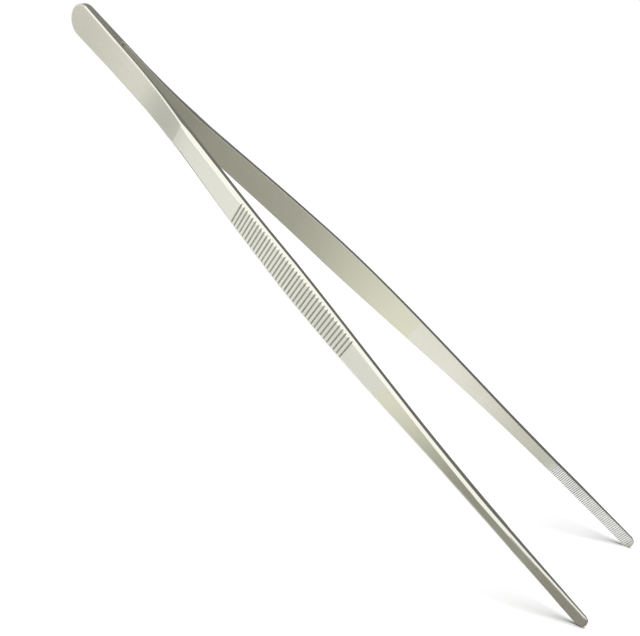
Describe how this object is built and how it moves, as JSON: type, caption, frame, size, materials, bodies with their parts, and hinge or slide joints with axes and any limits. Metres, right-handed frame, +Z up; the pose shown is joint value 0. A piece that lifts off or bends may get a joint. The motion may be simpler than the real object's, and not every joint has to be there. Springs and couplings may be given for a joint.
{
  "type": "kitchen tweezers",
  "caption": "Long sprung kitchen tweezers for cooking and plating, with mirrored arms welded at the tail, ridged grips and serrated jaws.",
  "frame": {"origin": "under the middle of the object, on the surface that its side edges rest on", "axes": "+X from the welded tail end to the tips, +Y towards the left arm, which is the way the arms open, +Z up across the width of the strips"},
  "size_m": [0.3, 0.0492, 0.0136],
  "materials": {
    "satin_steel": "satin ground stainless steel, with bright ground bevels",
    "ground_weld": "weld metal ground flush and satin finished"
  },
  "bodies": {
    "tail": {"left_tail_plate": "satin_steel", "right_tail_plate": "satin_steel", "weld_seam": "ground_weld", "left_spring_leaf": "satin_steel", "right_spring_leaf": "satin_steel"},
    "left_arm": {"left_arm": "satin_steel"},
    "right_arm": {"right_arm": "satin_steel"}
  },
  "joints": [
    {"name": "left_arm_flex", "type": "hinge", "parent": "tail", "child": "left_arm", "pos_m": [-0.102, 0.00237, 0.0068], "axis": [0, 0, -1], "range_deg": [0, 5.29], "stiffness_Nm_per_rad": 12.7, "deforming": ["left_spring_leaf"]},
    {"name": "right_arm_flex", "type": "hinge", "parent": "tail", "child": "right_arm", "pos_m": [-0.102, -0.00237, 0.0068], "axis": [0, 0, 1], "range_deg": [0, 5.29], "stiffness_Nm_per_rad": 12.7, "deforming": ["right_spring_leaf"]}
  ]
}
